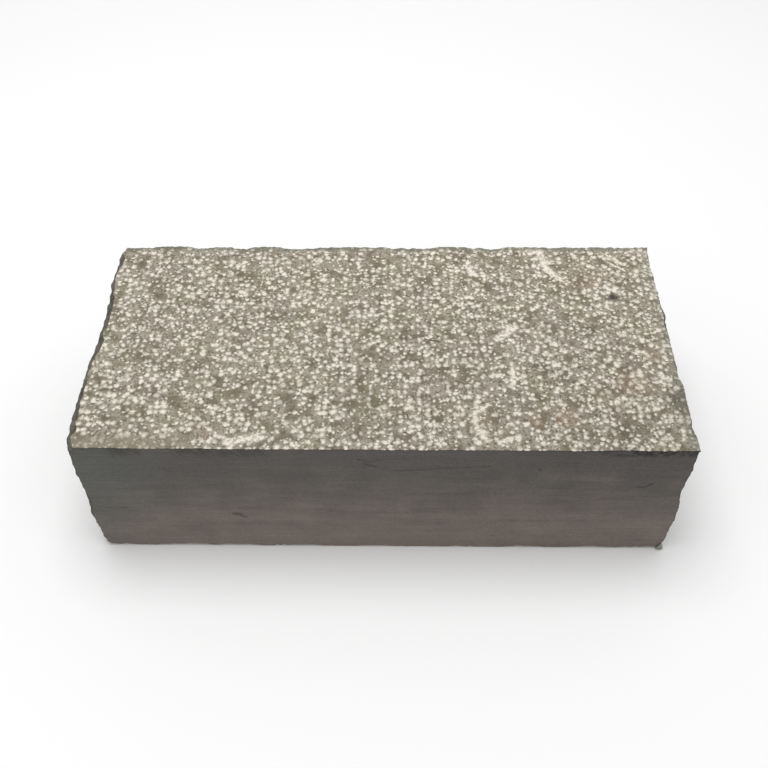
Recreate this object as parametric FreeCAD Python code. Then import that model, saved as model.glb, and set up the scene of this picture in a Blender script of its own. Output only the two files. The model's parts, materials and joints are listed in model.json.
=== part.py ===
"""A dressed stone block: hammered top, sawn sides, split ends, and a flake at the foot of one corner.

Millimetres. +X along the block, +Y from its front to its back, +Z up from its bed to its hammered top.
The origin is the centre of the bed.
"""
import FreeCAD
import Part
import math
import os
import random
from collections import namedtuple

# The block. Its length is over the proudest points of both ends, its width and height between sawn faces.
LENGTH = 616.0
WIDTH = 298.0
HEIGHT = 170.0

# The worn edge of the four long arrises, measured along both of the faces that meet there.
ARRIS_WEAR = 1.5

# The facets of the split ends, and how much of their relief is broad swells and not small random hollows.
FACET_SIZE = 24.0
SWELL_SHARE = 0.65

# The left end: how deep its hollows go, where a swell stands proud on the front edge above the bed, the
# spacing of the swells up the end and along it, how far its foot and its back lie behind its front top, and
# the bevel broken all round it.
LEFT_RELIEF = 5.0
LEFT_SWELL_AT = 122.0
LEFT_SWELL_HEIGHT = 72.0
LEFT_SWELL_WIDTH = 190.0
LEFT_LEAN = 3.0
LEFT_SKEW = 4.0
LEFT_BEVEL = 6.0

# The right end, in the same way.
RIGHT_RELIEF = 6.0
RIGHT_SWELL_AT = 57.0
RIGHT_SWELL_HEIGHT = 93.0
RIGHT_SWELL_WIDTH = 260.0
RIGHT_LEAN = 1.0
RIGHT_SKEW = 3.0
RIGHT_BEVEL = 2.5

# The corners lost at the front of the bed: their bites along X, Y and Z from where the corner would be.
LEFT_LOSS_ALONG = 7.0
LEFT_LOSS_INWARD = 6.0
LEFT_LOSS_UPWARD = 5.0
RIGHT_LOSS_ALONG = 6.0
RIGHT_LOSS_INWARD = 9.0
RIGHT_LOSS_UPWARD = 12.0

# The flake in the right corner's loss: how far it stands out past the corner, how deep it is, and how far its
# tip stays below the top of the loss.
FLAKE_OUT = 3.0
FLAKE_DEPTH = 15.0
FLAKE_SHY = 1.0

# How far a cutting solid is carried past the faces that it cuts.
OVERCUT = 20.0

SplitEnd = namedtuple("SplitEnd", "side relief swell_at swell_height swell_width lean skew bevel")

LEFT_END = SplitEnd(
    -1, LEFT_RELIEF, LEFT_SWELL_AT, LEFT_SWELL_HEIGHT, LEFT_SWELL_WIDTH,
    LEFT_LEAN, LEFT_SKEW, LEFT_BEVEL,
)
RIGHT_END = SplitEnd(
    1, RIGHT_RELIEF, RIGHT_SWELL_AT, RIGHT_SWELL_HEIGHT, RIGHT_SWELL_WIDTH,
    RIGHT_LEAN, RIGHT_SKEW, RIGHT_BEVEL,
)


def face_through(points):
    """A flat face whose outline is these points, in order."""
    return Part.Face(Part.makePolygon(points + points[:1]))


def solid_of(faces):
    """A closed solid with these faces, turned so that its volume is positive."""
    solid = Part.makeSolid(Part.makeShell(faces))
    if solid.Volume < 0:
        solid.reverse()
    return solid


def stations(low, high, bevel):
    """Stations from low to high: the edges, their worn and bevel lines, and facets evenly between."""
    count = max(2, round((high - low) / FACET_SIZE))
    step = (high - low - 2 * bevel) / count
    inner = [low + bevel + step * i for i in range(count + 1)]
    return [low, low + ARRIS_WEAR] + inner + [high - ARRIS_WEAR, high]


def split_depths(end, columns, rows):
    """How far each node of a split end lies behind the end's proudest point.

    It adds a share of the relief that rises and falls as a cosine of the height, drifting along the end,
    and a random share, then the lean of the foot, the skew of the back and the bevel round the edge.
    """
    chance = random.Random(end.swell_at)
    depths = []
    for z in rows:
        line = []
        for y in columns:
            turns = (z - end.swell_at) / end.swell_height + (y + WIDTH / 2) / end.swell_width
            swell = (1 - math.cos(2 * math.pi * turns)) / 2
            hollow = end.relief * (SWELL_SHARE * swell + (1 - SWELL_SHARE) * chance.random())
            slope = end.lean * (1 - z / HEIGHT) + end.skew * (y / WIDTH + 0.5)
            to_edge = min(z, HEIGHT - z, y + WIDTH / 2, WIDTH / 2 - y)
            line.append(hollow + slope + max(0.0, end.bevel - to_edge))
        depths.append(line)
    proudest = min(min(line) for line in depths)
    return [[depth - proudest for depth in line] for line in depths]


def end_nodes(end):
    """The points of a split end, row by row upwards, each row from front to back."""
    columns = stations(-WIDTH / 2, WIDTH / 2, end.bevel)
    rows = stations(0.0, HEIGHT, end.bevel)
    return [
        [FreeCAD.Vector(end.side * (LENGTH / 2 - depth), y, z) for y, depth in zip(columns, line)]
        for z, line in zip(rows, split_depths(end, columns, rows))
    ]


def end_facets(nodes):
    """The split end as triangles, with the diagonals alternating. A corner cell keeps only its inner half."""
    faces = []
    last_row = len(nodes) - 2
    last_column = len(nodes[0]) - 2
    for j in range(last_row + 1):
        for i in range(last_column + 1):
            a, b = nodes[j][i], nodes[j][i + 1]
            c, d = nodes[j + 1][i + 1], nodes[j + 1][i]
            if (i, j) == (0, 0):
                triangles = [(b, c, d)]
            elif (i, j) == (last_column, last_row):
                triangles = [(a, b, d)]
            elif (i, j) == (last_column, 0):
                triangles = [(a, c, d)]
            elif (i, j) == (0, last_row):
                triangles = [(a, b, c)]
            elif (i + j) % 2:
                triangles = [(a, b, c), (a, c, d)]
            else:
                triangles = [(a, b, d), (b, c, d)]
            faces.extend(face_through(list(triangle)) for triangle in triangles)
    return faces


def long_faces(left, right):
    """The bed, top, front and back and the four worn arrises between them, from end to end."""
    edges = [
        lambda nodes: nodes[0][1:-1],
        lambda nodes: nodes[-1][1:-1],
        lambda nodes: [row[0] for row in nodes[1:-1]],
        lambda nodes: [row[-1] for row in nodes[1:-1]],
        lambda nodes: [nodes[0][1], nodes[1][0]],
        lambda nodes: [nodes[0][-2], nodes[1][-1]],
        lambda nodes: [nodes[-1][1], nodes[-2][0]],
        lambda nodes: [nodes[-1][-2], nodes[-2][-1]],
    ]
    return [face_through(edge(left) + edge(right)[::-1]) for edge in edges]


def corner_wedge(corner, side, along, inward, upward):
    """The stone lost at a corner of the bed's front edge: all that lies outside a slanting plane."""
    reach = 1 + OVERCUT / along + OVERCUT / inward + OVERCUT / upward
    apex = corner + FreeCAD.Vector(side * OVERCUT, -OVERCUT, -OVERCUT)
    on_x = apex + FreeCAD.Vector(-side * along * reach, 0, 0)
    on_y = apex + FreeCAD.Vector(0, inward * reach, 0)
    on_z = apex + FreeCAD.Vector(0, 0, upward * reach)
    return solid_of([
        face_through([apex, on_x, on_y]),
        face_through([apex, on_y, on_z]),
        face_through([apex, on_z, on_x]),
        face_through([on_x, on_z, on_y]),
    ])


def flake(corner, block):
    """A chip that stands on the bed's floor and fills the right corner's loss, cut to fit the block."""
    foot = corner + FreeCAD.Vector(-RIGHT_LOSS_ALONG, 0, 0)
    toe = corner + FreeCAD.Vector(FLAKE_OUT, 0, 0)
    heel = corner + FreeCAD.Vector(FLAKE_OUT / 2, FLAKE_DEPTH, 0)
    root = corner + FreeCAD.Vector(-RIGHT_LOSS_ALONG, FLAKE_DEPTH, 0)
    tip = corner + FreeCAD.Vector(FLAKE_OUT / 3, FLAKE_DEPTH / 8, RIGHT_LOSS_UPWARD - FLAKE_SHY)
    chip = solid_of([
        face_through([foot, toe, heel, root]),
        face_through([foot, toe, tip]),
        face_through([toe, heel, tip]),
        face_through([heel, root, tip]),
        face_through([root, foot, tip]),
    ])
    return chip.cut(block)


def make_parts():
    """Both pieces of the object, by name."""
    left = end_nodes(LEFT_END)
    right = end_nodes(RIGHT_END)
    whole = solid_of(end_facets(left) + end_facets(right) + long_faces(left, right))
    left_corner = left[0][0]
    right_corner = right[0][0]
    left_loss = corner_wedge(left_corner, -1, LEFT_LOSS_ALONG, LEFT_LOSS_INWARD, LEFT_LOSS_UPWARD)
    right_loss = corner_wedge(right_corner, 1, RIGHT_LOSS_ALONG, RIGHT_LOSS_INWARD, RIGHT_LOSS_UPWARD)
    block = whole.cut(left_loss).cut(right_loss)
    return {"stone_block": block, "corner_flake": flake(right_corner, block)}


os.makedirs("parts", exist_ok=True)
for name, shape in make_parts().items():
    shape.exportStep("parts/" + name + ".step")
    state = "valid" if shape.isValid() else "NOT VALID"
    print(name, state, "solids", len(shape.Solids), "volume", round(shape.Volume))
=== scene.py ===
"""A dressed stone block and the flake at its foot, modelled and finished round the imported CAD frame."""
import json
import math

import bpy
import numpy as np
from bpy.props import FloatProperty, FloatVectorProperty, IntProperty, PointerProperty
from mathutils import Matrix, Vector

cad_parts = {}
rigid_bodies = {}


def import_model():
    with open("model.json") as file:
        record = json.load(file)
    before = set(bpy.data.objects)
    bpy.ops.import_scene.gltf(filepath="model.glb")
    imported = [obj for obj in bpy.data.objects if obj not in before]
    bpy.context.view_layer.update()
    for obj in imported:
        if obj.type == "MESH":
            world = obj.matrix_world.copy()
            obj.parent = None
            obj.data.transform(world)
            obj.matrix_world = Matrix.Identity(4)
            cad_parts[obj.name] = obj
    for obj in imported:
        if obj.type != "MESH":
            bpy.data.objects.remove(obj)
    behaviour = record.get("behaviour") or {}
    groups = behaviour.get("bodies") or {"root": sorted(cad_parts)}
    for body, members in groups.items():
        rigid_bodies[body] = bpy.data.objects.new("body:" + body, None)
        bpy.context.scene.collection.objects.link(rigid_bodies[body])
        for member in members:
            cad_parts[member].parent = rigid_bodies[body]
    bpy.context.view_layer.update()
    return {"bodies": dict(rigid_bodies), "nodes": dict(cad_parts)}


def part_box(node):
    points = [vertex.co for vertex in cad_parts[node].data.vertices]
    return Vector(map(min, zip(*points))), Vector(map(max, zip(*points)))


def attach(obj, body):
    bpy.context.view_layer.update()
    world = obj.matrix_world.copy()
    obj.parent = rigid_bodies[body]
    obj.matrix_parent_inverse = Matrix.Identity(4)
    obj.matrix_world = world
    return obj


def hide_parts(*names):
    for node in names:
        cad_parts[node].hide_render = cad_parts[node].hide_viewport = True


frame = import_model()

bl_info = {
    "name": "Dressed Stone Block",
    "version": (1, 0, 0),
    "blender": (4, 5, 0),
    "location": "3D View > Sidebar > Stone",
    "description": "Builds a bush-hammered stone block with split ends, the flake at its foot and a studio",
    "category": "Add Mesh",
}

BLOCK = "stone_block"
FLAKE = "corner_flake"
MM = 0.001
BLOCK_LOW, BLOCK_HIGH = (np.array(corner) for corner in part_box(BLOCK))
FLAKE_LOW, FLAKE_HIGH = (np.array(corner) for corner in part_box(FLAKE))
BLOCK_SIZE = BLOCK_HIGH - BLOCK_LOW

# The sides of the block in the order of its material slots.
HAMMERED, SAWN, SPLIT = range(3)

# The corners lost at the front of the bed, by the side of the block: how far the break reaches along X, Y and
# Z, and how far inside the block's box the whole corner would stand.
BITES = {-1: (7 * MM, 6 * MM, 5 * MM), 1: (6 * MM, 9 * MM, 12 * MM)}
LEAN = {-1: 10.6 * MM, 1: 6 * MM}

# The finest steps of the block's lattice, at its edges, and how much each step inwards grows.
EDGE_STEP = 0.5 * MM
STEP_GROWTH = 1.3

# How far inside the CAD block's worn arrises its split ends are read.
ARRIS_INSET = 1.6 * MM

# How far down from the top the split ends are torn, and how much of the left end's tear the right end has.
TORN_BAND = 7 * MM
RIGHT_TORN_SHARE = 0.3

# Places near the split ends' edges that stand back, or proud where the first number is less than 0: how far,
# and how wide they are.
LEFT_FRONT = (2.5 * MM, 14 * MM)
LEFT_NIB = (-2.5 * MM, 9 * MM)
RIGHT_NIB = (-1.5 * MM, 9 * MM)
RIGHT_PROUD = (-4.5 * MM, 60 * MM)
RIGHT_REAR = (-4 * MM, 14 * MM)

# Where the nibs lie behind the front and above the bed, and where the rear place lies in front of the back
# and above the bed.
NIB_PLACE = (16 * MM, 158 * MM)
REAR_PLACE = (6 * MM, 164 * MM)

# How far down the sides follow the top's relief, and how far up and in the broken foot reaches.
TOP_BAND = 8 * MM
FOOT_UP = 14 * MM
FOOT_IN = 20 * MM

# The middle of the struck chip in the front arris, in millimetres.
STRUCK_CHIP = (238.0, -149.0, 170.0)

# Places on the top are shares of its length from the left and of its width from the front. Sizes on it are
# in millimetres. These are the plucked hole, a dark broken patch, and the ends of a fine dark crack.
PLUCKED_HOLE = (0.913, 0.725)
BROKEN_PATCH = (0.99, 0.22)
CRACK = ((0.575, 0.50), (0.60, 0.485))

# Browner patches of the top: middle and radius.
BROWN_PATCHES = (
    ((0.92, 0.30), 26.0),
    ((0.80, 0.14), 20.0),
    ((0.96, 0.43), 14.0),
    ((0.75, 0.12), 12.0),
    ((0.88, 0.80), 18.0),
    ((0.22, 0.06), 10.0),
)

# White scuffs of the top, where a tool slipped, and a ring: both ends of each stroke, and its width.
SCUFFS = (
    ((0.79, 0.99), (0.80, 0.87), 7.0),
    ((0.80, 0.87), (0.82, 0.82), 6.0),
    ((0.70, 0.50), (0.73, 0.56), 7.0),
    ((0.915, 0.94), (0.948, 0.90), 2.5),
    ((0.917, 0.91), (0.942, 0.87), 2.5),
    ((0.654, 0.89), (0.668, 0.84), 5.0),
    ((0.652, 0.16), (0.652, 0.09), 5.5),
    ((0.652, 0.09), (0.668, 0.04), 5.5),
    ((0.687, 0.033), (0.72, 0.058), 5.0),
    ((0.652, 0.16), (0.675, 0.19), 3.5),
    ((0.965, 0.33), (0.975, 0.31), 6.0),
    ((0.719, 0.38), (0.719, 0.29), 4.0),
    ((0.26, 0.03), (0.31, 0.05), 8.0),
    ((0.90, 0.77), (0.925, 0.74), 4.0),
)

# Dark dents and scratches of the front: X and Z of both ends and the width, in millimetres, and how dark.
FRONT_MARKS = (
    ((14.0, 136.0), (108.0, 144.0), 2.0, 0.5),
    ((-22.0, 154.0), (-13.0, 151.0), 2.6, 0.6),
    ((-18.0, 148.0), (-5.0, 143.0), 2.6, 0.6),
    ((-14.0, 149.0), (0.0, 153.0), 3.5, 0.3),
    ((-152.0, 61.0), (-147.0, 60.0), 4.5, 0.9),
    ((-146.0, 58.0), (-141.0, 55.0), 3.8, 0.9),
    ((257.0, 112.0), (264.0, 111.0), 3.2, 0.7),
    ((264.0, 111.0), (270.0, 117.0), 3.0, 0.7),
    ((156.0, 140.0), (157.0, 138.0), 3.2, 0.7),
    ((-285.0, 70.0), (-230.0, 71.0), 1.6, 0.3),
    ((-268.0, 70.0), (-262.0, 71.0), 2.4, 0.5),
    ((-190.0, 68.0), (-120.0, 72.0), 1.4, 0.3),
)

# The hammer's skew tooth marks under the front arris: X of each group's middle, and half its length.
TOOTH_GROUPS = ((-155.0, 55.0), (-248.0, 20.0))

# A turn, in radians, that keeps a noise's lattice from lining up with the block.
NOISE_TURN = (0.5, 0.3, 0.6)

# The flake's lattice, how round its edges are, how far in front of the CAD flake its toe stands, how far its
# top is drawn in, the place of its tip as shares of its box, and how rough it is.
FLAKE_COUNTS = (22, 22, 22)
FLAKE_ROUNDING = 0.22
FLAKE_TOE = 3 * MM
FLAKE_TAPER = 0.86
FLAKE_TIP = np.array([0.55, 0.12])
FLAKE_ROUGHNESS = 2.2 * MM

# The studio: places in metres, angles in degrees, and the camera's lens and sensor in millimetres.
FLOOR_REACH = 12.0
WHITE = (1.0, 1.0, 1.0, 1.0)
SKY_STRENGTH = 0.7
LAMP_PLACE = (-0.2, 0.2, 2.4)
LAMP_ANGLES = (-5.0, -5.0)
LAMP_SIZE = 1.6
LAMP_WATTS = 27.0
CAMERA_PLACE = (0.0102, -0.7418, 0.9192)
CAMERA_TURN = 0.62
CAMERA_DIP = 47.9
CAMERA_ROLL = -0.16
CAMERA_LENS = 46.63
SENSOR_WIDTH = 36.0


# Settings


def length(name, description, default, **limits):
    """A size in metres."""
    return FloatProperty(
        name=name, description=description, default=default, min=0.0, unit="LENGTH", precision=5, **limits
    )


def colour_chip(name, description, red, green, blue):
    """A colour given as the 0 to 255 values of a colour chip, held as linear light."""
    chip = np.array([red, green, blue]) / 255
    linear = np.where(chip <= 0.04045, chip / 12.92, ((chip + 0.055) / 1.055) ** 2.4)
    return FloatVectorProperty(
        name=name, description=description, default=tuple(linear.tolist()), min=0.0, max=1.0, subtype="COLOR"
    )


class StoneShape(bpy.types.PropertyGroup):
    """The sizes of the block's mesh and of its relief"""

    grid: length("Grid", "Spacing of the lattice along and across the block", 1.5 * MM)
    grid_up: length("Upright grid", "Spacing of the lattice up the sides", 2.8 * MM)
    faces: IntProperty(name="Faces", description="Triangles left after thinning", default=190000, min=1000)
    bruise_pitch: length("Bruise pitch", "Distance between neighbouring hammer bruises", 7.3 * MM)
    bruise_reach: length("Bruise radius", "Radius of a hammer bruise", 3.2 * MM)
    pit_depth: length("Pit depth", "Depth of a hammer bruise", 0.7 * MM)
    swell: length("Top swell", "How far the hammered top dips between its high places", 1.2 * MM)
    wear: length("Wear", "Radius of the worn arrises where they are crisp", 0.8 * MM)
    chip: length("Chips", "Extra radius where an arris is chipped", 3.0 * MM)
    torn: length("Torn arris", "How far the top arris of the left end is set back where it broke", 3.5 * MM)
    foot: length("Foot", "How far the bed's front edge is broken away upwards", 3.5 * MM)
    split_depth: length("Split relief", "Depth of the split ends' roughness over the facets", 4.2 * MM)


class StoneColours(bpy.types.PropertyGroup):
    """The colours of the stone and of the floor"""

    dark: colour_chip("Bare, dark", "The darker bare stone of the top", 91, 84, 69)
    light: colour_chip("Bare, light", "The lighter bare stone of the top", 141, 132, 115)
    olive: colour_chip("Olive tint", "The greener patches of the top", 122, 116, 91)
    brown: colour_chip("Brown tint", "The browner patches of the top", 128, 111, 90)
    bruise: colour_chip("Bruise", "The white of a hammer bruise", 228, 221, 208)
    sawn: colour_chip("Sawn", "The sawn faces under the top arris", 94, 90, 86)
    sawn_cool: colour_chip("Sawn, cool", "The sawn faces near the left end", 92, 93, 88)
    # Painted light: the sawn colour near the bed, lighter and warmer, stands in for light bounced up from the
    # floor.
    sawn_bounce_lit: colour_chip("Sawn, warm", "The sawn faces near the bed", 130, 119, 111)
    split: colour_chip("Split", "The split ends", 114, 110, 102)
    # The split ends' hollows turn to this colour as painted shade; the top's hole, broken patch and crack
    # take it too.
    split_dark: colour_chip("Split, dark", "The hollows of the split ends", 68, 66, 61)
    flake: colour_chip("Flake", "The fresh flake", 140, 143, 128)
    floor: colour_chip("Floor", "The studio floor", 248, 248, 248)


# Nodes


class Signal:
    """A node's output that adds a Math node for each operator used on it."""

    def __init__(self, net, socket):
        self.net = net
        self.socket = socket

    def maths(self, operation, *terms):
        """A Math node's result for these terms."""
        return self.net.signal("ShaderNodeMath", {"operation": operation}, dict(enumerate(terms)))

    def __add__(self, other):
        return self.maths("ADD", self, other)

    def __sub__(self, other):
        return self.maths("SUBTRACT", self, other)

    def __rsub__(self, other):
        return self.maths("SUBTRACT", other, self)

    def __mul__(self, other):
        return self.maths("MULTIPLY", self, other)

    def __truediv__(self, other):
        return self.maths("DIVIDE", self, other)

    def __rtruediv__(self, other):
        return self.maths("DIVIDE", other, self)

    def __pow__(self, other):
        return self.maths("POWER", self, other)

    def __rpow__(self, other):
        return self.maths("POWER", other, self)

    def __abs__(self):
        return self.maths("ABSOLUTE", self)

    __radd__ = __add__
    __rmul__ = __mul__

    def joined_to(self, other, soft):
        """The greater of the two, with the crease between them smoothed over this much."""
        return self.maths("SMOOTH_MAX", self, other, soft)

    def least(self, other):
        """The lesser of the two."""
        return self.maths("MINIMUM", self, other)

    def most(self, other):
        """The greater of the two."""
        return self.maths("MAXIMUM", self, other)

    def ease(self, low, high):
        """0 below low, 1 above high and an S-shaped rise between. With low above high it falls instead."""
        return self.net.signal(
            "ShaderNodeMapRange",
            {"interpolation_type": "SMOOTHSTEP"},
            {"Value": self, "From Min": low, "From Max": high},
        )


class Net:
    """A node tree being laid out. Places in it are vectors in millimetres."""

    def __init__(self, tree):
        self.tree = tree
        tree.nodes.clear()

    def add(self, kind, settings=None, inputs=None):
        """Any node: its type, its settings, which are set first, and the values or links of its sockets."""
        node = self.tree.nodes.new(kind)
        for name, value in (settings or {}).items():
            setattr(node, name, value)
        for key, value in (inputs or {}).items():
            if isinstance(value, Signal):
                self.tree.links.new(value.socket, node.inputs[key])
            else:
                node.inputs[key].default_value = value
        return node

    def signal(self, kind, settings=None, inputs=None, output=0):
        """A node's output, ready to be used in an expression."""
        return Signal(self, self.add(kind, settings, inputs).outputs[output])

    def vector(self, operation, *terms, output=0):
        """A Vector Math node's result for these terms. Output 1 is its number."""
        return self.signal("ShaderNodeVectorMath", {"operation": operation}, dict(enumerate(terms)), output)

    def scaled(self, vector, scale):
        """A vector or colour times a number."""
        return self.signal("ShaderNodeVectorMath", {"operation": "SCALE"}, {"Vector": vector, "Scale": scale})

    def parts(self, vector):
        """The three numbers of a vector or colour."""
        node = self.add("ShaderNodeSeparateXYZ", inputs={"Vector": vector})
        return [Signal(self, socket) for socket in node.outputs]

    def joined(self, x, y, z):
        """A vector of three numbers."""
        return self.signal("ShaderNodeCombineXYZ", inputs={"X": x, "Y": y, "Z": z})

    def noise(self, place, size, detail=2.0, roughness=0.5, output=0):
        """Smooth random values from 0 to 1 whose features are about as large as size.

        The pattern is turned a little about every axis, so that its lattice doesn't line up with the block.
        """
        turned = self.signal(
            "ShaderNodeVectorRotate",
            {"rotation_type": "EULER_XYZ"},
            {"Vector": place, "Rotation": NOISE_TURN},
        )
        inputs = {"Vector": turned, "Scale": 1.0 / size, "Detail": detail, "Roughness": roughness}
        return self.signal("ShaderNodeTexNoise", None, inputs, output)

    def shaken(self, place, size, reach):
        """The place moved by up to reach either way by a noise of this size, which makes outlines ragged."""
        shake = self.vector("SUBTRACT", self.noise(place, size, output=1), (0.5, 0.5, 0.5))
        return self.vector("ADD", place, self.scaled(shake, 2.0 * reach))

    def blend(self, factor, first, second):
        """The first colour where factor is 0 and the second where it is 1."""
        inputs = {0: factor, 6: opaque(first), 7: opaque(second)}
        return self.signal("ShaderNodeMix", {"data_type": "RGBA"}, inputs, output=2)

    def tinted(self, colour, factor):
        """A colour made lighter or darker by a number."""
        return self.scaled(colour, factor)


def opaque(colour):
    """A colour with its fourth number, or a signal as it is."""
    return colour if isinstance(colour, Signal) else (*colour, 1.0)


def sampled(points, field, *sizes):
    """The value of a field at each point, in metres, as an array.

    A field is a function of a net and a place. Geometry nodes work it out with the nodes that a material
    would have, so that what is in the mesh lies just under what is in the material.
    """
    mesh = bpy.data.meshes.new("sample")
    mesh.vertices.add(len(points))
    mesh.vertices.foreach_set("co", points.astype(np.float32).ravel())
    sample = bpy.data.objects.new("sample", mesh)
    bpy.context.scene.collection.objects.link(sample)
    tree = bpy.data.node_groups.new("sample", "GeometryNodeTree")
    tree.interface.new_socket("Geometry", in_out="INPUT", socket_type="NodeSocketGeometry")
    tree.interface.new_socket("Geometry", in_out="OUTPUT", socket_type="NodeSocketGeometry")
    net = Net(tree)
    place = net.scaled(net.signal("GeometryNodeInputPosition"), 1 / MM)
    stored = net.signal(
        "GeometryNodeStoreNamedAttribute",
        {"data_type": "FLOAT", "domain": "POINT"},
        {"Geometry": net.signal("NodeGroupInput"), "Name": "field", "Value": field(net, place, *sizes)},
    )
    net.add("NodeGroupOutput", None, {"Geometry": stored})
    sample.modifiers.new("sample", "NODES").node_group = tree
    result = sample.evaluated_get(bpy.context.evaluated_depsgraph_get())
    values = np.empty(len(points), np.float32)
    result.data.attributes["field"].data.foreach_get("value", values)
    bpy.data.objects.remove(sample)
    bpy.data.meshes.remove(mesh)
    bpy.data.node_groups.remove(tree)
    return values.astype(np.float64)


# Fields: patterns that both the mesh and the materials read. Their lengths are in millimetres.


def on_top(across, deep):
    """A place on the top, given as shares of its length from the left and of its width from the front."""
    low, high = BLOCK_LOW / MM, BLOCK_HIGH / MM
    return (float(low[0] + across * (high[0] - low[0])), float(low[1] + deep * (high[1] - low[1])), 0.0)


def spots(net, place, pitch, reach, kept, shift):
    """Round spots, at most one to a cell of a Voronoi pattern: 1 in the middle, 0 at the rim, less outside.

    A cell has its spot where its first random number is below kept, and its second scales the reach.
    """
    inputs = {"Vector": net.vector("ADD", place, shift), "Scale": 1.0 / pitch, "Randomness": 1.0}
    cell = net.add("ShaderNodeTexVoronoi", {"voronoi_dimensions": "2D"}, inputs)
    away = Signal(net, cell.outputs["Distance"]) * pitch
    chance, scale, _ = net.parts(Signal(net, cell.outputs["Color"]))
    missing = (chance - kept).ease(0.0, 0.04) * 2.0
    return 1.0 - away / (reach * (0.6 + 0.65 * scale)) - missing


def bruises(net, place, pitch, reach):
    """How far inside a hammer bruise a place is: 1 in its middle, 0 at its rim and less outside.

    Three layers of ragged spots run into each other. Bare patches come where a broad noise is low.
    """
    ragged = net.shaken(net.shaken(net.shaken(place, 6.0, 1.5), 2.4, 1.0), 1.2, 0.5)
    often = net.noise(place, 19.0, 2.0).ease(0.36, 0.58) * 0.3 + 0.48
    large = spots(net, ragged, pitch, reach, often, (0.0, 0.0, 0.0))
    extra = spots(net, ragged, pitch * 1.3, reach * 0.9, often * 0.5, (371.0, 113.0, 0.0))
    small = spots(net, ragged, pitch * 0.68, reach * 0.6, often * 0.6, (-97.0, 455.0, 0.0)) - 0.15
    return large.joined_to(extra, 0.2).joined_to(small, 0.15)


def flattened(net, place):
    """The place seen from above."""
    return net.vector("MULTIPLY", place, (1.0, 1.0, 0.0))


def pits(net, place, pitch, reach, depth, swell):
    """How far the hammered top lies below the flat.

    It adds a bowl under each bruise, broad swells, fine roughness, a ragged back edge and a plucked hole, and
    takes away a rise towards the right rear.
    """
    flat = flattened(net, place)
    x, y, _ = net.parts(flat)
    bowl = bruises(net, flat, pitch, reach).ease(-0.2, 0.9) * depth
    broad = net.noise(flat, 55.0, 1.0).ease(0.25, 0.75) * swell
    behind = y.ease(on_top(0, 0.95)[1], on_top(0, 1)[1])
    back = (net.noise(flat, 24.0, 2.0).ease(0.38, 0.66) * 3.4 - 0.8) * behind
    rise = x.ease(on_top(0.3, 0)[0], on_top(1, 0)[0]) * y.ease(on_top(0, 0)[1], on_top(0, 1)[1]) * 2.0
    hole = 1.0 - net.vector("DISTANCE", net.shaken(flat, 6.0, 2.5), on_top(*PLUCKED_HOLE), output=1) / 7.0
    fine = net.noise(flat, 4.0, 2.0) * (0.5 * depth)
    return bowl + broad + back - rise + fine + hole.ease(0.0, 1.0) * 3.0


def cups(net, place, size):
    """Shallow hollows with sharp rims, as a hard stone splits: 1 at the bottom of each, less at its rim."""
    inputs = {"Vector": place, "Scale": 1.0 / size}
    return 1.0 - net.signal("ShaderNodeTexVoronoi", None, inputs) ** 2.0


def splitting(net, place, depth):
    """How far a split end lies behind its facets: large and small cups, torn ridges and grit."""
    ragged = net.shaken(place, 12.0, 5.0)
    ridge = abs(net.noise(ragged, 30.0, 2.0) - 0.5) * 2.5
    grit = net.noise(place, 5.0, 3.0, 0.6)
    return (cups(net, ragged, 26.0) * 0.5 + cups(net, ragged, 10.0) * 0.42 + ridge * 0.4 + grit * 0.4) * depth


def torn(net, place, depth):
    """How far the arris between a split end and the top is set back, which changes along it."""
    x, y, _ = net.parts(place)
    along = net.joined(x.ease(-1.0, 1.0) * 90.0, y, 0.0)
    return (net.noise(along, 24.0, 1.0).ease(0.3, 0.65) + 0.5 * net.noise(along, 6.0, 2.0)) * depth


def worn(net, place, wear, chip):
    """The radius of the worn arrises, which grows at chips about a centimetre long and at the struck chip."""
    steady = net.noise(place, 22.0, 2.0) * (1.6 * wear)
    chipped = net.noise(place, 11.0, 1.0).ease(0.6, 0.8) * chip
    struck = net.vector("DISTANCE", place, STRUCK_CHIP, output=1).ease(18.0, 4.0)
    return steady + chipped + struck * net.noise(place, 5.0, 1.0) * (2.0 * chip)


def rising(net, place, height):
    """How far the bed's front edge is broken away upwards, which changes along the block."""
    x, _, _ = net.parts(place)
    broad = net.noise(net.joined(x, 0.0, 0.0), 38.0, 1.0).ease(0.3, 0.75)
    return (broad + net.noise(net.joined(x, 50.0, 0.0), 7.0, 2.0) * 0.35) * height


# Shapes


def stations(low, high, pitch):
    """Places from low to high, whose steps grow from both edges inwards until they are about the pitch."""
    steps = EDGE_STEP * STEP_GROWTH ** np.arange(1 + int(math.log(pitch / EDGE_STEP, STEP_GROWTH)))
    edge = np.concatenate([[0.0], np.cumsum(steps)])
    middle = high - low - 2 * edge[-1]
    inner = np.linspace(low + edge[-1], high - edge[-1], 1 + round(middle / pitch))
    return np.concatenate([low + edge[:-1], inner, (high - edge[:-1])[::-1]])


def shell(counts):
    """The surface of a lattice with these numbers of stations along X, Y and Z.

    Returns the lattice indices of its points, its quads, and for each quad the axis it faces and which way. A
    quad's corners run anticlockwise as seen from outside.
    """
    index = np.indices(counts).reshape(3, -1)
    outer = ((index == 0) | (index == np.array(counts)[:, None] - 1)).any(0)
    number = np.full(counts, -1)
    number.reshape(-1)[outer] = np.arange(outer.sum())
    quads, sides = [], []
    for axis in range(3):
        layers = np.moveaxis(number, axis, 0)
        if axis == 1:
            layers = layers.transpose(0, 2, 1)
        for layer, outward in ((layers[0], -1), (layers[-1], 1)):
            ring = [layer[:-1, :-1], layer[1:, :-1], layer[1:, 1:], layer[:-1, 1:]]
            quad = np.stack(ring[::outward], -1).reshape(-1, 4)
            quads.append(quad)
            sides.append(np.tile([axis, outward], (len(quad), 1)))
    return index[:, outer], np.concatenate(quads), np.concatenate(sides)


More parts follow.
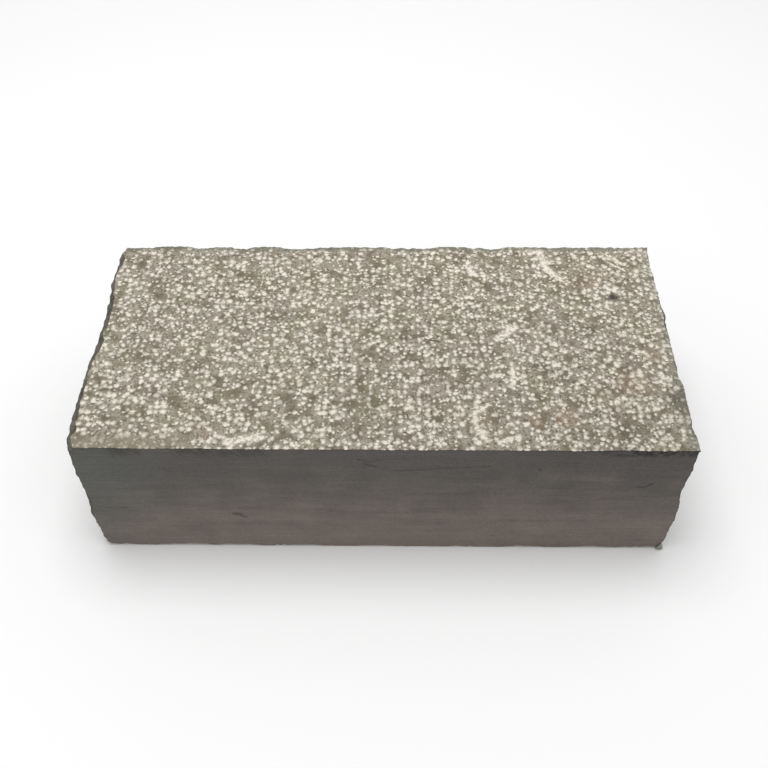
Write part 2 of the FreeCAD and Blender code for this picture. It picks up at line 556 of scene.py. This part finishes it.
def rounded(points, low, high, radius):
    """The points of a box's surface with its edges rounded.

    Each point is brought to the nearest place that lies at least a radius inside the box, and then goes out
    from there by the radius, along the line to where it was.
    """
    radius = radius[:, None]
    core = np.clip(points, low + radius, high - radius)
    way = points - core
    return core + radius * way / np.linalg.norm(way, axis=1, keepdims=True)


def end_surface(side, across, up):
    """Where lines along X, through these places across and up, first meet the CAD block from one end.

    A line meets a triangle where both its shares of the triangle's edges, and their sum, lie between 0 and 1.
    Of the triangles that it meets, the outermost counts.
    """
    mesh = frame["nodes"][BLOCK].data
    mesh.calc_loop_triangles()
    points = np.empty(3 * len(mesh.vertices), np.float32)
    mesh.vertices.foreach_get("co", points)
    triangles = np.empty(3 * len(mesh.loop_triangles), np.int32)
    mesh.loop_triangles.foreach_get("vertices", triangles)
    corners = points.reshape(-1, 3).astype(np.float64)[triangles.reshape(-1, 3)]
    corners = corners[(corners[:, :, 0] * side > 0).all(1)]
    first, second, third = corners.transpose(1, 0, 2)
    along, beside = second - first, third - first
    area = along[:, 1] * beside[:, 2] - along[:, 2] * beside[:, 1]
    facing = abs(area) > 1e-9
    first, along, beside, area = first[facing], along[facing], beside[facing], area[facing]
    off_y = across.reshape(-1, 1) - first[:, 1]
    off_z = up.reshape(-1, 1) - first[:, 2]
    one = (off_y * beside[:, 2] - off_z * beside[:, 1]) / area
    two = (along[:, 1] * off_z - along[:, 2] * off_y) / area
    met = (one > -1e-4) & (two > -1e-4) & (one + two < 1 + 1e-4)
    if not met.any(1).all():
        raise ValueError("a line along X misses the block's split end")
    out = side * (first[:, 0] + one * along[:, 0] + two * beside[:, 0])
    return side * np.where(met, out, 0.0).max(1).reshape(across.shape)


def beyond(points, side):
    """How far points lie outside the slanting plane that a side's corner at the bed is lost to.

    The plane meets the three edges as far from where the corner would be as the break reaches along them.
    Returns the distances and the plane's outward direction.
    """
    corner = np.array([side * (BLOCK_HIGH[0] - LEAN[side]), BLOCK_LOW[1], BLOCK_LOW[2]])
    way = np.array([side, -1, -1]) / np.array(BITES[side])
    size = np.linalg.norm(way)
    return ((points - corner) @ way + 1) / size, way / size


def broken_off(points, side):
    """The points with those beyond a lost corner's plane brought back to it."""
    out, way = beyond(points, side)
    return points - np.clip(out, 0, None)[:, None] * way


def chip_mesh():
    """The flake: a rounded box that is drawn in towards its tip as it rises, roughened all over.

    A point at a height share h keeps 1 - taper × h^1.2 of its distance from the tip's upright line. The side
    that faces the block is pushed out to the plane that the block's corner is lost to.
    """
    index, quads, _ = shell(FLAKE_COUNTS)
    shares = index.T / (np.array(FLAKE_COUNTS) - 1)
    shares = rounded(shares, np.zeros(3), np.ones(3), np.full(len(shares), FLAKE_ROUNDING))
    low, high = FLAKE_LOW - [0, FLAKE_TOE, 0], FLAKE_HIGH
    tip = low[:2] * (1 - FLAKE_TIP) + high[:2] * FLAKE_TIP
    kept = 1 - FLAKE_TAPER * shares[:, 2] ** 1.2
    points = low + shares * (high - low)
    points[:, :2] = tip + (points[:, :2] - tip) * kept[:, None]
    outward = points - (low + high) / 2
    outward /= np.linalg.norm(outward, axis=1, keepdims=True)
    rough = sampled(points, lambda net, place: net.noise(net.shaken(place, 4.0, 1.5), 3.2, 3.0, 0.6)) - 0.5
    points += FLAKE_ROUGHNESS * rough[:, None] * outward
    out, way = beyond(points, 1)
    points -= np.clip(out, None, 0)[:, None] * way
    points[:, 2] = np.clip(points[:, 2], 0, None)
    return new_mesh(FLAKE, points, quads)


def new_mesh(name, points, faces):
    """A mesh from whole arrays of points, in metres, and faces."""
    mesh = bpy.data.meshes.new(name)
    mesh.from_pydata(points.tolist(), [], faces.tolist())
    return mesh


def new_piece(name, mesh, stands_for):
    """An object at the origin that stands for a CAD node and rides on the block's body."""
    piece = bpy.data.objects.new(name, mesh)
    bpy.context.scene.collection.objects.link(piece)
    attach(piece, next(iter(frame["bodies"])))
    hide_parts(stands_for)
    return piece


def thinned(piece, faces):
    """Collapses the flattest edges until about this many triangles are left, and applies the result."""
    now = sum(len(polygon.vertices) - 2 for polygon in piece.data.polygons)
    if now > faces:
        thinner = piece.modifiers.new("thin", "DECIMATE")
        thinner.ratio = faces / now
        result = piece.evaluated_get(bpy.context.evaluated_depsgraph_get())
        piece.data = bpy.data.meshes.new_from_object(result)
        piece.modifiers.clear()


def stand(place, distance):
    """A broad place of an end that stands back, or proud: its depth × exp(-(distance / its width)²)."""
    depth, width = place
    return depth * np.exp(-((distance / width) ** 2))


def set_back(side, rough, tear, across, up):
    """How far a split end lies behind the CAD's facets.

    It is the roughness less its mean, the tear of the top arris, and the places that stand back or proud.
    """
    near_top = np.exp(-(((BLOCK_HIGH[2] - up) / TORN_BAND) ** 2))
    from_nib = np.hypot(across - BLOCK_LOW[1] - NIB_PLACE[0], up - NIB_PLACE[1])
    back = rough - rough.mean()
    if side < 0:
        back += tear * near_top
        back += stand(LEFT_FRONT, across - BLOCK_LOW[1])
        back += stand(LEFT_NIB, from_nib)
    else:
        back += RIGHT_TORN_SHARE * tear * near_top
        back += stand(RIGHT_PROUD, across - 0.5 * BLOCK_LOW[1]) * near_top
        back += stand(RIGHT_NIB, from_nib)
        back += stand(RIGHT_REAR, np.hypot(BLOCK_HIGH[1] - across - REAR_PLACE[0], up - REAR_PLACE[1]))
    return back


def block_mesh(shape):
    """The block as one closed surface over a lattice.

    A point's place across and up is the lattice's, with the edges rounded. Along X it runs evenly from the
    left end's surface to the right one's, and each of those is the CAD's facets less how far it is set back.
    The top then sinks by its pits, and the sides with it for a few millimetres down, and the front edge of
    the bed rises.
    """
    xs = stations(BLOCK_LOW[0], BLOCK_HIGH[0], shape.grid)
    ys = stations(BLOCK_LOW[1], BLOCK_HIGH[1], shape.grid)
    zs = stations(BLOCK_LOW[2], BLOCK_HIGH[2], shape.grid_up)
    index, quads, sides = shell((len(xs), len(ys), len(zs)))
    flat = np.stack([xs[index[0]], ys[index[1]], zs[index[2]]], 1)
    radius = MM * sampled(flat, worn, shape.wear / MM, shape.chip / MM)
    points = rounded(flat, BLOCK_LOW, BLOCK_HIGH, radius)

    across, up = np.meshgrid(
        np.clip(ys, BLOCK_LOW[1] + ARRIS_INSET, BLOCK_HIGH[1] - ARRIS_INSET),
        np.clip(zs, BLOCK_LOW[2] + ARRIS_INSET, BLOCK_HIGH[2] - ARRIS_INSET),
        indexing="ij",
    )
    along = (flat[:, 0] - BLOCK_LOW[0]) / BLOCK_SIZE[0]
    for side, whole, near in ((-1, BLOCK_LOW[0], 1 - along), (1, BLOCK_HIGH[0], along)):
        facets = end_surface(side, across, up)
        grid = np.stack([facets, *np.meshgrid(ys, zs, indexing="ij")], -1).reshape(-1, 3)
        rough = MM * sampled(grid, splitting, shape.split_depth / MM).reshape(facets.shape)
        tear = MM * sampled(grid, torn, shape.torn / MM).reshape(facets.shape)
        end = facets - side * set_back(side, rough, tear, across, up)
        moved = np.clip(end, BLOCK_LOW[0], BLOCK_HIGH[0]) - whole
        points[:, 0] += near * moved[index[1], index[2]]

    sizes = (shape.bruise_pitch, shape.bruise_reach, shape.pit_depth, shape.swell)
    sunk = MM * sampled(points, pits, *[size / MM for size in sizes])
    points[:, 2] -= sunk * np.clip(1 - (BLOCK_HIGH[2] - points[:, 2]) / TOP_BAND, 0, 1) ** 2
    foot = np.clip(1 - points[:, 2] / FOOT_UP, 0, 1)
    foot *= np.clip(1 - (points[:, 1] - BLOCK_LOW[1]) / FOOT_IN, 0, 1)
    points[:, 2] += MM * sampled(points, rising, shape.foot / MM) * foot
    for side in BITES:
        points = broken_off(points, side)

    mesh = new_mesh(BLOCK, points, quads)
    finish = np.where(sides[:, 0] == 0, SPLIT, SAWN)
    finish[(sides[:, 0] == 2) & (sides[:, 1] > 0)] = HAMMERED
    mesh.polygons.foreach_set("material_index", finish.astype(np.int32))
    return mesh


# Materials


def new_material(name):
    """A material and the net of its nodes."""
    material = bpy.data.materials.new(name)
    material.use_nodes = True
    return material, Net(material.node_tree)


def here(net):
    """The place on the piece, from its Object coordinates, in millimetres."""
    return net.scaled(net.signal("ShaderNodeTexCoord", output=3), 1 / MM)


def finished(net, colour, roughness, height):
    """Ends a material: its colour, its roughness, and a relief in millimetres that bends the light."""
    bump = net.signal("ShaderNodeBump", None, {"Strength": 1.0, "Distance": MM, "Height": height})
    shader = net.signal(
        "ShaderNodeBsdfPrincipled",
        None,
        {"Base Color": colour, "Roughness": roughness, "Specular IOR Level": 0.25, "Normal": bump},
    )
    net.add("ShaderNodeOutputMaterial", None, {"Surface": shader})


def nearest(net, place, start, end):
    """How far a place is from the straight line between two ends."""
    start, end = np.array(start), np.array(end)
    along = end - start
    off = net.vector("SUBTRACT", place, tuple(start.tolist()))
    part = net.vector("DOT_PRODUCT", off, tuple((along / (along @ along)).tolist()), output=1)
    foot = net.scaled(tuple(along.tolist()), part.most(0.0).least(1.0))
    return net.vector("DISTANCE", off, foot, output=1)


def mark(net, place, start, end, width, ragged=3.0):
    """A ragged stroke from one place on the top to another: 1 along its middle and 0 beyond its width."""
    away = nearest(net, net.shaken(place, 5.0, ragged), on_top(*start), on_top(*end))
    return (1.0 - away / width).ease(0.0, 0.8)


def cloud(net, place, centre, radius, ragged=0.5):
    """A ragged round patch on the top: 1 in its middle and 0 beyond its radius."""
    away = net.vector("DISTANCE", net.shaken(place, radius * 0.7, radius * ragged), on_top(*centre), output=1)
    return (1.0 - away / radius).ease(0.0, 0.7)


def bare_stone(net, place, grain, mottle, body, brown, colours):
    """The colour of the top between its bruises: mottled, olive and brown in patches, with painted shade
    beside bruises.
    """
    bare = net.blend((grain * 0.7 + mottle * 0.8 - 0.25).ease(0.2, 0.85), colours.dark, colours.light)
    olive = net.noise(net.vector("ADD", place, (-60.0, 20.0, 0.0)), 30.0, 2.0).ease(0.45, 0.65)
    bare = net.blend(olive * 0.5, bare, colours.olive)
    # Painted shade: a dark ring just outside each bruise, standing in for the shade in the crevices between
    # bruises.
    shadow = 1.0 - abs(body + 0.35) * 4.0
    bare = net.tinted(bare, 1.0 - 0.2 * shadow.most(0.0))
    return net.blend(brown * 0.9, bare, colours.brown)


def whitened(net, place, body):
    """How white the top is: the crushed stone of the bruises, the dust round them and the scuffs."""
    fade = net.noise(net.vector("ADD", place, (15.0, 77.0, 0.0)), 8.0, 1.0).ease(0.3, 0.7)
    smear = 1.0 - abs(net.noise(net.shaken(place, 4.0, 1.5), 4.0, 2.0) - 0.5) * 7.0
    dust = smear.most(0.0) * 0.36 * net.noise(place, 15.0, 1.0).ease(0.25, 0.6)
    white = body.ease(-0.15, 0.8) * (0.55 + 0.5 * fade) + dust
    speckle = net.noise(place, 3.0, 2.0).ease(0.38, 0.58)
    for start, end, width in SCUFFS:
        white = white.most(mark(net, place, start, end, width) * (0.45 + 0.65 * speckle))
    return white


def hammered_stone(shape, colours):
    """The bush-hammered top: mottled bare stone, with a crushed white bruise in each pit and dust round it.

    Over that lie scuffs, a plucked hole, a crack and tinted patches. The left front corner is rubbed bare,
    the back and right edges have a darker, greener rim, and the right rear is a little lighter.
    """
    material, net = new_material("hammered_stone")
    place = flattened(net, here(net))
    x, y, _ = net.parts(place)
    left, front, _ = on_top(0, 0)
    right, back, _ = on_top(1, 1)
    across, deep = (x - left) / (right - left), (y - front) / (back - front)
    body = bruises(net, place, shape.bruise_pitch / MM, shape.bruise_reach / MM)
    grain = net.noise(place, 1.4, 3.0, 0.6)
    mottle = net.noise(place, 7.0, 4.0, 0.65)

    brown = net.noise(net.vector("ADD", place, (90.0, 40.0, 0.0)), 60.0, 2.0).ease(0.55, 0.75) * 0.4
    for centre, radius in BROWN_PATCHES:
        brown = brown.most(cloud(net, place, centre, radius))
    rubbed = (y - front).ease(24.0, 8.0) * across.ease(0.24, 0.14)
    rim = deep.ease(0.968, 0.998).most(x.ease(290.0, 303.0) * 0.6)
    rim = rim * (0.55 + 0.6 * net.noise(place, 9.0, 2.0).ease(0.35, 0.6))

    white = whitened(net, place, body) * (0.35 + 1.3 * grain)
    white = white * (1.0 - 0.6 * rubbed) * (1.0 - 0.25 * brown) * (1.0 - 0.75 * rim)
    bare = bare_stone(net, place, grain, mottle, body, brown, colours)
    bare = net.blend(rubbed * 0.5, bare, colours.light)
    pepper = net.noise(place, 2.3, 2.0).ease(0.6, 0.72)
    bare = net.tinted(bare, 1.0 - 0.2 * pepper)
    bare = net.tinted(net.blend(rim * 0.7, bare, colours.flake), 1.0 - 0.32 * rim)

    hole = cloud(net, place, PLUCKED_HOLE, 8.0, 0.4).most(0.45 * cloud(net, place, BROKEN_PATCH, 20.0))
    hole = hole.most(mark(net, place, *CRACK, 1.6, 1.0))
    colour = net.blend(white.least(1.0), bare, colours.bruise)
    colour = net.blend(hole * 0.95, colour, colours.split_dark)
    colour = net.tinted(colour, 0.99 + 0.2 * across * (deep - 0.5))
    height = grain * 0.35 + mottle * 0.3 - body.ease(-0.2, 0.9) * 0.3
    finished(net, colour, 0.85 + 0.1 * grain, height)
    return material


def scratch(net, place, start, end, width):
    """A dark mark on the front: 1 along its middle and 0 beyond its width. Its ends are X and Z."""
    away = nearest(net, net.shaken(place, 4.0, 1.0), (start[0], 0.0, start[1]), (end[0], 0.0, end[1]))
    return (1.0 - away / width).ease(0.0, 1.0)


def crystals(net, place, size):
    """A random number from 0 to 1 for each grain of the stone."""
    inputs = {"Vector": net.shaken(place, size, 0.4 * size), "Scale": 1.0 / size}
    return net.parts(net.signal("ShaderNodeTexVoronoi", None, inputs, output=1))[0]


def front_marks_and_shade(net, place):
    """How dark the front's marks and painted shade are: tooth marks, chips under the right of the arris
    darkened with painted shade from the arris above, and dents.
    """
    x, y, z = net.parts(place)
    front = net.joined(x, 0.0, z)
    teeth = abs(net.noise(net.joined(x + z * 0.8, 0.0, z * 0.15), 3.0, 1.0) - 0.5).ease(0.16, 0.04)
    groups = [1.0 - abs(x - middle) / half for middle, half in TOOTH_GROUPS]
    struck = groups[0].most(groups[1]).ease(0.0, 0.4)
    marks_and_shade = teeth * (z - 150.0).ease(0.0, 14.0) * struck * 0.7
    # Painted shade: a ragged dark band under the right of the top arris, where it overhangs the chips there.
    chips_and_shade = net.noise(place, 6.0, 2.0).ease(0.35, 0.6) * x.ease(205.0, 235.0)
    marks_and_shade = marks_and_shade.most((z - 157.0).ease(0.0, 8.0) * chips_and_shade * 1.2)
    for start, end, width, darkness in FRONT_MARKS:
        marks_and_shade = marks_and_shade.most(scratch(net, front, start, end, width) * darkness)
    return marks_and_shade * (-140.0 - y).ease(0.0, 4.0)


def sawn_stone(colours):
    """The sawn faces: smooth and dark, streaked along the bed of the stone.

    The front is warmer and lighter towards its foot, which is painted light bounced up from the floor, broken
    by the stone's streaks. It is cooler at its left, a little darker towards its right, and has painted shade
    just under its top arris and over its upper right. The back has an even tone with bands.
    """
    material, net = new_material("sawn_stone")
    place = here(net)
    x, y, z = net.parts(place)
    lines = net.noise(net.joined(x * 0.03, y, z), 2.4, 3.0, 0.65)
    bands = net.noise(net.joined(x * 0.12, y, z), 16.0, 3.0, 0.6)
    cloudy = net.noise(place, 45.0, 3.0, 0.6)
    grain = net.noise(place, 1.2, 2.0, 0.6)
    # Painted floor bounce: towards its foot the front turns to the lighter, warmer sawn colour, broken up by
    # the stone's bands and clouds.
    foot = ((bands - 0.5) * 110.0 + (cloudy - 0.5) * 80.0 - z).ease(-155.0, 20.0)
    foot = foot * (0.6 + 0.4 * x.ease(-300.0, -190.0))
    back = y.ease(-140.0, 140.0)
    foot = foot + (0.45 + 0.7 * (bands - 0.5) - foot) * back
    cool = net.blend(x.ease(-180.0, -290.0), colours.sawn, colours.sawn_cool)
    colour = net.blend(foot, cool, colours.sawn_bounce_lit)

    tone = 0.34 + 0.45 * lines + 0.28 * grain + 0.2 * cloudy + 0.16 * crystals(net, place, 1.6)
    tone = tone - 0.06 * x.ease(-50.0, 200.0)
    # Painted shade: a dark line just under the top arris, and a darker band over the upper right of the front
    # that deepens towards the arris.
    arris = (z - 166.0).ease(0.0, 3.0)
    shade = (z - 60.0).ease(0.0, 70.0) * 0.07 + (z - 155.0).ease(0.0, 14.0) * 0.15
    tone = tone * (1.0 - 0.22 * arris) * (1.0 - shade * x.ease(120.0, 240.0))
    # The front's dents and tooth marks, with painted shade under the right of the arris.
    marks_and_shade = front_marks_and_shade(net, place)
    colour = net.tinted(colour, tone * (1.0 - 0.5 * marks_and_shade))
    finished(net, colour, 0.6 + 0.2 * lines, lines * 0.15 + grain * 0.08 - marks_and_shade * 0.5)
    return material


def split_stone(colours):
    """The split ends: rough, darkened in the hollows as painted shade, with grains that broke at their own
    angles.
    """
    material, net = new_material("split_stone")
    place = here(net)
    hollow = splitting(net, place, 1.0)
    grit = net.noise(place, 1.6, 4.0, 0.7)
    grains = crystals(net, place, 2.2)
    # Painted shade: the deeper the hollow, the more the colour turns to the dark split colour.
    tone = (hollow * 0.8 + grit * 0.4).ease(0.5, 1.4)
    colour = net.blend(tone, colours.split, colours.split_dark)
    colour = net.tinted(colour, 0.72 + 0.56 * grains * (0.5 + grit))
    relief = cups(net, net.shaken(place, 3.0, 1.0), 5.0) * 1.3 + grit * 1.2 + grains * 0.4
    finished(net, colour, 0.8 + 0.15 * grit, relief * -1.0)
    return material


# Operators


class STONE_OT_block(bpy.types.Operator):
    """Builds the block: its split, sawn and hammered faces as one closed piece, and their three finishes"""

    bl_idname = "stone.block"
    bl_label = "Block"

    def execute(self, context):
        shape, colours = context.scene.stone_shape, context.scene.stone_colours
        block = new_piece("dressed_block", block_mesh(shape), BLOCK)
        for material in (hammered_stone(shape, colours), sawn_stone(colours), split_stone(colours)):
            block.data.materials.append(material)
        thinned(block, shape.faces)
        block.data.shade_smooth()
        return {"FINISHED"}


class STONE_OT_flake(bpy.types.Operator):
    """Builds the flake that stands at the foot of the front right corner"""

    bl_idname = "stone.flake"
    bl_label = "Flake"

    def execute(self, context):
        flake = new_piece("fresh_flake", chip_mesh(), FLAKE)
        material, net = new_material("fresh_chip")
        grit = net.noise(here(net), 1.5, 3.0, 0.6)
        colour = net.tinted(tuple(context.scene.stone_colours.flake), 0.7 + 0.6 * grit)
        finished(net, colour, 0.88 + 0.1 * grit, grit * 0.8)
        flake.data.materials.append(material)
        flake.data.shade_smooth()
        return {"FINISHED"}


class STONE_OT_stage(bpy.types.Operator):
    """Builds the studio: a plain floor, a soft sky, one large lamp overhead and the camera"""

    bl_idname = "stone.stage"
    bl_label = "Stage"

    def execute(self, context):
        scene = context.scene
        corners = FLOOR_REACH * np.array([[-1, -1, 0], [1, -1, 0], [1, 1, 0], [-1, 1, 0]])
        floor = bpy.data.objects.new("floor", new_mesh("floor", corners, np.array([[0, 1, 2, 3]])))
        scene.collection.objects.link(floor)
        material, net = new_material("floor")
        shader = net.signal(
            "ShaderNodeBsdfPrincipled",
            None,
            {"Base Color": opaque(scene.stone_colours.floor), "Roughness": 0.9, "Specular IOR Level": 0.2},
        )
        net.add("ShaderNodeOutputMaterial", None, {"Surface": shader})
        floor.data.materials.append(material)

        world = bpy.data.worlds.new("studio")
        world.use_nodes = True
        scene.world = world
        net = Net(world.node_tree)
        sky = net.signal("ShaderNodeBackground", None, {"Color": WHITE, "Strength": SKY_STRENGTH})
        net.add("ShaderNodeOutputWorld", None, {"Surface": sky})

        lamp = bpy.data.lights.new("overhead", "AREA")
        lamp.shape = "DISK"
        lamp.size = LAMP_SIZE
        lamp.energy = LAMP_WATTS
        overhead = bpy.data.objects.new("overhead", lamp)
        overhead.location = LAMP_PLACE
        overhead.rotation_euler = (math.radians(LAMP_ANGLES[0]), math.radians(LAMP_ANGLES[1]), 0)
        scene.collection.objects.link(overhead)

        eye = bpy.data.cameras.new("camera")
        eye.sensor_width = SENSOR_WIDTH
        eye.lens = CAMERA_LENS
        camera = bpy.data.objects.new("camera", eye)
        place = Matrix.Translation(CAMERA_PLACE)
        turn = Matrix.Rotation(math.radians(CAMERA_TURN), 4, "Z")
        tilt = Matrix.Rotation(math.radians(90 - CAMERA_DIP), 4, "X")
        roll = Matrix.Rotation(math.radians(CAMERA_ROLL), 4, "Z")
        camera.matrix_world = place @ turn @ tilt @ roll
        scene.collection.objects.link(camera)
        scene.camera = camera
        scene.view_settings.view_transform = "Standard"
        return {"FINISHED"}


class STONE_PT_panel(bpy.types.Panel):
    """The block's sizes and colours, and what builds it"""

    bl_label = "Dressed Stone Block"
    bl_space_type = "VIEW_3D"
    bl_region_type = "UI"
    bl_category = "Stone"

    def draw(self, context):
        layout = self.layout
        for group in (context.scene.stone_shape, context.scene.stone_colours):
            for name in group.bl_rna.properties.keys():
                if name not in ("rna_type", "name"):
                    layout.prop(group, name)
        for operator in OPERATORS:
            layout.operator(operator.bl_idname)


OPERATORS = (STONE_OT_block, STONE_OT_flake, STONE_OT_stage)
CLASSES = (StoneShape, StoneColours, *OPERATORS, STONE_PT_panel)


def register():
    """Makes the sizes, the colours, what builds the pieces and the panel known to Blender."""
    for item in CLASSES:
        bpy.utils.register_class(item)
    bpy.types.Scene.stone_shape = PointerProperty(type=StoneShape)
    bpy.types.Scene.stone_colours = PointerProperty(type=StoneColours)


def unregister():
    """Takes back what register did."""
    del bpy.types.Scene.stone_colours
    del bpy.types.Scene.stone_shape
    for item in reversed(CLASSES):
        bpy.utils.unregister_class(item)


def main():
    """Builds everything."""
    register()
    bpy.ops.stone.block()
    bpy.ops.stone.flake()
    bpy.ops.stone.stage()


if __name__ == "__main__":
    main()
